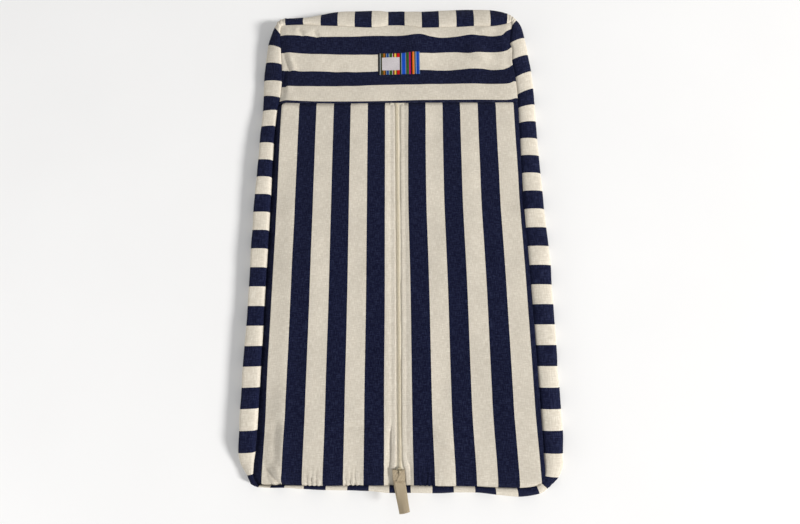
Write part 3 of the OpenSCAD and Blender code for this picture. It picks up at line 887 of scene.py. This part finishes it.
def zip_coil(name, side):
    """One row of the nylon coil: a helix whose loops reach past the middle, between the other row's loops."""
    pitch, per_turn, wire = 1.45, 10, 0.36
    low, high = COIL_BOX
    angle = np.arange(int((high[1] - low[1]) / pitch) * per_turn) * 2 * math.pi / per_turn
    outer, inner = high[0] - ZIP_X - wire, -0.2
    x = ZIP_X + side * ((outer + inner) / 2 + (outer - inner) / 2 * np.cos(angle))
    y = low[1] + wire + (angle / (2 * math.pi) + (0.5 if side > 0 else 0)) * pitch
    z = (low[2] + high[2]) / 2 + ((high[2] - low[2]) / 2 - wire) * np.sin(angle)
    rings = tube(stack(x, y, z), wire)
    mesh = grid_mesh(name, rings, np.zeros((*rings.shape[:2], 2)), closed=True)
    new_object(name, mesh, NYLON, ROOT, [name.replace("nylon_", "")])


# ---- Stitching ----

# Along one stitch: [share of its length, how deep it dips and how wide it is, in its radii].
STITCH = np.array([[0, 1.6, 0.45], [0.12, 0.32, 0.95], [0.5, 0, 1.0], [0.88, 0.32, 0.95], [1, 1.6, 0.45]])
STITCH_LIFT = 0.12


def stitches(name, paths, body, material, spacing=3.2, length=2.5, radius=0.22):
    """Rows of stitches as one piece. Each is a rod of six sides that dips into the cloth at both ends."""
    index = np.arange(len(STITCH) * 6).reshape(-1, 6)
    after = np.roll(index, -1, 1)
    rod = stack(index[:-1], after[:-1], after[1:], index[1:]).reshape(-1, 4).tolist()
    rod += [index[0, ::-1].tolist(), index[-1].tolist()]
    turn = circle(6)[None, :, None]
    vertices, faces = [], []
    for path in paths:
        along = lengths_along(path)
        for start in np.arange(spacing / 2, along[-1] - length, spacing):
            reach = start + length * STITCH[:, 0]
            centre = np.stack([np.interp(reach, along, path[:, i]) for i in range(3)], -1)
            centre[:, 2] += STITCH_LIFT - STITCH[:, 1] * radius
            ahead = centre[-1] - centre[0]
            ahead /= np.linalg.norm(ahead)
            first = np.cross(ahead, [0, 0, 1])
            first /= max(np.linalg.norm(first), 1e-6)
            around = first * np.cos(turn) + np.cross(ahead, first) * np.sin(turn)
            faces += [[i + len(vertices) for i in face] for face in rod]
            vertices += (centre[:, None] + radius * STITCH[:, 2, None, None] * around).reshape(-1, 3).tolist()
    mesh = bpy.data.meshes.new(name)
    mesh.from_pydata(to_row(vertices).tolist(), [], faces)
    mesh.polygons.foreach_set("use_smooth", np.ones(len(mesh.polygons), bool))
    new_object(name, mesh, material, body)


def zip_stitching():
    """Two rows of topstitching, one along each turned edge of the slit."""
    y = np.linspace(6, 860, 420)
    paths = []
    for side in (-1, 1):
        x = slit_edge_x(side, y) + side * STITCH_IN
        paths.append(stack(x, y, front_height(x, y) + slit_relief(x, y, STITCH_IN)))
    stitches("stitching_zip", paths, ROOT, CREAM_THREAD)


def yoke_stitching():
    """One row of topstitching above the yoke's folded edge."""
    x = np.linspace(-270, 280, 360)
    y = yoke_fold_y(x) + YOKE_STITCH_IN
    stitches("stitching_yoke", [stack(x, y, yoke_height(x, y))], ROOT, CREAM_THREAD)


# ---- Label ----


def label_grid(margin, lift):
    """A grid over the label, a margin in from its edges and lifted off the yoke."""
    low, high = LABEL_BOX
    x, y = (np.linspace(low[i] + margin, high[i] - margin, count) for i, count in ((0, 70), (1, 40)))
    x, y = np.meshgrid(x, y)
    return stack(x, y, yoke_height(x, y) + lift)


def label():
    """The woven label, lying on the yoke with its edges turned in."""
    points = label_grid(0, 0.85)
    low, high = LABEL_BOX[0][:2], LABEL_BOX[1][:2]
    edge = np.minimum(points[..., :2] - low, high - points[..., :2]).min(-1)
    points[..., 2] -= 0.45 * np.exp(-(edge / 0.8))
    uv = (points[..., :2] - low) * MM
    piece = ply("woven_label", points, uv, None, LABEL_CLOTH, 0.5)
    inset = label_grid(1.4, 0.9)
    sides = [inset[0], inset[:, -1], inset[-1, ::-1], inset[::-1, 0]]
    stitches("stitching_label", sides, ROOT, NAVY_THREAD, 2.2, 1.5, 0.14)
    return piece


# ---- Pull ----

WEBBING_HALF, WEBBING_PLY = 11.0, 1.1
PULL_X = ZIP_X - 2.9  # middle of the webbing, which has slipped to the left in the bail
PULL_TOP = SLIDER_Y + 3.4
CROSS_Y = SLIDER_Y - 19  # where the two legs are stitched into one tail
TAIL_L, TAIL_TILT = 63.5, math.radians(9.8)


def webbing_strip(name, left, right, uv_width, nodes=(), arch=0.0):
    """A strip of webbing between two edge curves, with rounded selvedges."""
    across = np.array([0, 0.02, 0.06, 0.14, 0.3, 0.5, 0.7, 0.86, 0.94, 0.98, 1])
    off_middle = np.abs(2 * across - 1)
    points = left[:, None] * (1 - across)[None, :, None] + right[:, None] * across[None, :, None]
    points[..., 2] += 0.1 * noise(points[..., 0], points[..., 1], 6, 61) - 0.22 * off_middle**6
    points[..., 2] += np.reshape(arch, (-1, 1)) * (1 - off_middle**2)
    along = lengths_along((left + right) / 2)[:, None]
    uv = stack(across * uv_width, along) * MM
    ply(name, points, uv, off_middle**8 + 0 * along, WEBBING, WEBBING_PLY, PULL, nodes)


def pull_tail():
    """The tail's two plies, leaning right, and turned so that the right edge stands up at the free end."""
    t = np.linspace(0, 1, 60)
    ahead = TAIL_L * np.array([math.sin(TAIL_TILT), -math.cos(TAIL_TILT)])
    centre = np.array([PULL_X + 1.2, CROSS_Y]) + ahead * t[:, None]
    bend, turned = ease(t, 0, 0.14), ease(t, 0.1, 1.0)
    side = stack(np.cos(TAIL_TILT * bend), np.sin(TAIL_TILT * bend))
    reach = (WEBBING_HALF - 1.4 * turned)[:, None]
    for name, lift, offset, nodes in (("top", 1.15, 1.4, ["pull_tape"]), ("under", -0.05, -1.4, ())):
        z = NECK_Z + lift - 0.8 * turned
        left = np.column_stack([centre + side * (offset - reach), z])
        right = np.column_stack([centre + side * (offset + reach), z + 5.3 * turned])
        left[:, 1] += 2.2 * t
        right[:, 1] += 5.2 * t**2
        webbing_strip(f"webbing_tail_{name}", right, left, 2 * WEBBING_HALF, nodes, 2.2 * turned)


def pull_legs():
    """The two legs that fold down off the bail and cross, and the tongue of webbing seen between them."""
    t = np.linspace(0, 1, 26)
    y = PULL_TOP - (PULL_TOP - CROSS_Y + 3) * t
    for name, way, lift in (("left", -1, 0.6), ("right", 1, 1.2)):
        outer_x = PULL_X + way * (12.6 - 0.4 * t + 0.5 * np.sin(t * math.pi)) + 1.4 * t
        inner_x = PULL_X + way * (5.2 - 10.2 * t)
        z = NECK_Z + lift + 0.9 * np.sin(t * math.pi) - 1.2 * bell(t / 0.08)
        edges = [stack(outer_x, y, z - 0.9), stack(inner_x, y, z - 0.7 * (1 - t))]
        webbing_strip(f"webbing_leg_{name}", *edges[::way], 2 * WEBBING_HALF)
    half, y = 7.0, np.linspace(SLIDER_Y - 3.6, CROSS_Y - 1.5, 16)
    edges = [stack(PULL_X + x, y, NECK_Z + 0.4) for x in (half, -half)]
    webbing_strip("webbing_tongue", *edges, 2 * half)


def pull_neck():
    """The webbing gathered into a neck, where it runs through the bail."""
    t = np.linspace(-1, 1, 41)
    x = PULL_X + 12.2 * t
    pinch = 0.55 + 0.45 * ease(np.abs(x - ZIP_X), 2, 8)
    path = stack(x, SLIDER_Y + 0.6 * t**2, NECK_Z + 0.1 * np.cos(3 * t))
    turn = circle(20)
    ring = stack(0 * turn, 2.3 * np.cos(turn), 1.25 * np.sin(turn))
    rings = path[:, None] + ring[None] * pinch[:, None, None]
    uv = stack(turn[None] * 2, x[:, None]) * MM
    mesh = grid_mesh("webbing_neck", rings, uv, closed=True)
    new_object("webbing_neck", mesh, WEBBING, PULL)


def pull():
    """Webbing through the bail, its legs folded down, crossed, stitched and doubled into one tail."""
    pull_tail()
    pull_legs()
    pull_neck()
    x = PULL_X + np.linspace(-10, 10, 30)
    rows = [stack(x, CROSS_Y - down, NECK_Z + 2.1) for down in (0, 2.2)]
    stitches("stitching_pull", rows, PULL, PULL_THREAD, 2.6, 2.0, 0.28)


# ---- Bindings, metal parts, floor, light and camera ----

BAG_MIDDLE = np.array([0, 540])
# Section of a binding: [distance in from the seam, height].
BINDING_SECTION = np.array([
    [4, 0.8], [8, 0.9], [12, 0.8], [13, 0], [12, -0.8], [8, -0.9], [4, -0.8], [3.4, 0],
])


def binding(name, z, node):
    """Bias tape over the seam allowances, all round, just inside the front seam, or flat at height z."""
    counts = run_between(CORNERS["hem_left"], CORNERS["hem_end"], 8)[:-1]
    seam = seam_xy(counts)
    inward = BAG_MIDDLE - seam
    inward = inward / np.linalg.norm(inward, axis=1)[:, None]
    sunk = seam_height(counts) - 4.6 - ditch_depth(seam[:, 0], seam[:, 1])
    heights = sunk if z is None else np.full(len(counts), z)
    xy = seam[:, None] + inward[:, None] * BINDING_SECTION[None, :, :1]
    points = np.concatenate([xy, (heights[:, None] + BINDING_SECTION[None, :, 1])[..., None]], -1)
    points = np.concatenate([points, points[:1]], 0)
    run = np.concatenate([counts, [counts[-1] + 0.12]])
    uv = stack(np.linspace(0, 20, 8)[None], run[:, None] * STRIPE) * MM
    new_object(name, grid_mesh(name, points, uv, closed=True), BINDING, ROOT, [node])


def dress(node, material, bevel):
    """A CAD node keeps its mesh and gets rounded edges and its own material."""
    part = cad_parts[node]
    part.data.materials.clear()
    part.data.materials.append(material)
    edge = part.modifiers.new("rounded", "BEVEL")
    edge.width, edge.segments, edge.limit_method = bevel * MM, 3, "ANGLE"
    edge.angle_limit = math.radians(40)
    edge.harden_normals = True
    for polygon in part.data.polygons:
        polygon.use_smooth = True


def floor():
    """A wide pale floor."""
    x, y = np.meshgrid(*[np.linspace(-6000, 6000, 40)] * 2)
    points = stack(x, y + BAG_MIDDLE[1], -0.02 + 0 * x)
    mesh = grid_mesh("floor", points, points[..., :2] * MM)
    piece = link("floor", mesh)
    mesh.materials.append(floor_material())


def area_light(name, place, size, power, colour=(1, 1, 1)):
    """A round lamp that faces the bag. Its place is in metres in the row frame."""
    lamp = bpy.data.lights.new(name, "AREA")
    lamp.shape, lamp.size, lamp.energy, lamp.color = "DISK", size, power, colour
    light = link(name, lamp)
    light.location = place
    light.rotation_euler = (-Vector(place)).to_track_quat("-Z", "Y").to_euler()


def lighting():
    """A soft tent of light, brighter low down all round than overhead, and one soft lamp low on the right."""
    world = bpy.data.worlds.new("studio")
    bpy.context.scene.world = world
    world.use_nodes = True
    tree = world.node_tree
    place, parts, strength = (
        tree.nodes.new(f"ShaderNode{kind}") for kind in ("TexCoord", "SeparateXYZ", "MapRange")
    )
    strength.inputs["To Min"].default_value = 0.85
    strength.inputs["To Max"].default_value = 0.3
    tree.links.new(place.outputs["Generated"], parts.inputs[0])
    tree.links.new(parts.outputs["Z"], strength.inputs["Value"])
    tree.links.new(strength.outputs["Result"], tree.nodes["Background"].inputs["Strength"])
    tree.nodes["Background"].inputs["Color"].default_value = (1, 1, 1, 1)
    area_light("key", (11.5, -3.6, 5.6), 2.6, 2250, (1.0, 0.985, 0.965))
    area_light("rim", (-2.6, -1.6, 0.65), 1.6, 24)


def camera():
    """Above the lower middle of the bag, tipped towards the hanger end, with a wide lens."""
    lens = bpy.data.cameras.new("camera")
    lens.sensor_width, lens.lens = 36.0, 18.9
    eye = link("camera", lens)
    eye.location = to_row([33.1, 287.9, FRONT_Z + 933.1])
    turn = Vector((0.1925646, 0.02962391, -0.01202326))
    eye.rotation_euler = Matrix.Rotation(turn.length, 3, turn).to_euler()
    bpy.context.scene.camera = eye


camera()
lighting()
floor()
bpy.context.scene.view_settings.view_transform = "Standard"

BACK = back_panel()
LEFT = front_panel("canvas_front_panel_left", -1)
RIGHT = front_panel("canvas_front_panel_right", 1)
YOKE = yoke()
GUSSETS = [
    gusset(f"canvas_gusset_{name}", CORNERS[start], CORNERS[end])
    for name, start, end in (
        ("left", "hem_left", "top_left"), ("top", "top_left", "top_right"),
        ("right", "top_right", "hem_right"), ("hem", "hem_right", "hem_end"),
    )
]
zip_tape("woven_zip_tape_left", -1)
zip_tape("woven_zip_tape_right", 1)
zip_coil("nylon_zip_coil_left", -1)
zip_coil("nylon_zip_coil_right", 1)
zip_stitching()
yoke_stitching()
LABEL = label()
pull()
binding("bias_front_seam", None, "front_seam_binding")
binding("bias_back_seam", 3.6, "back_seam_binding")
for NODE, BEVEL in ("zip_slider", 0.35), ("slider_bail", 0.3), ("zip_end_stops", 0.4), ("zip_base_stop", 0.4):
    dress(NODE, ZIP_PAINT, BEVEL)
dress("eyelet_flange", EYELET_METAL, 0.25)
dress("eyelet_washer", EYELET_METAL, 0.2)
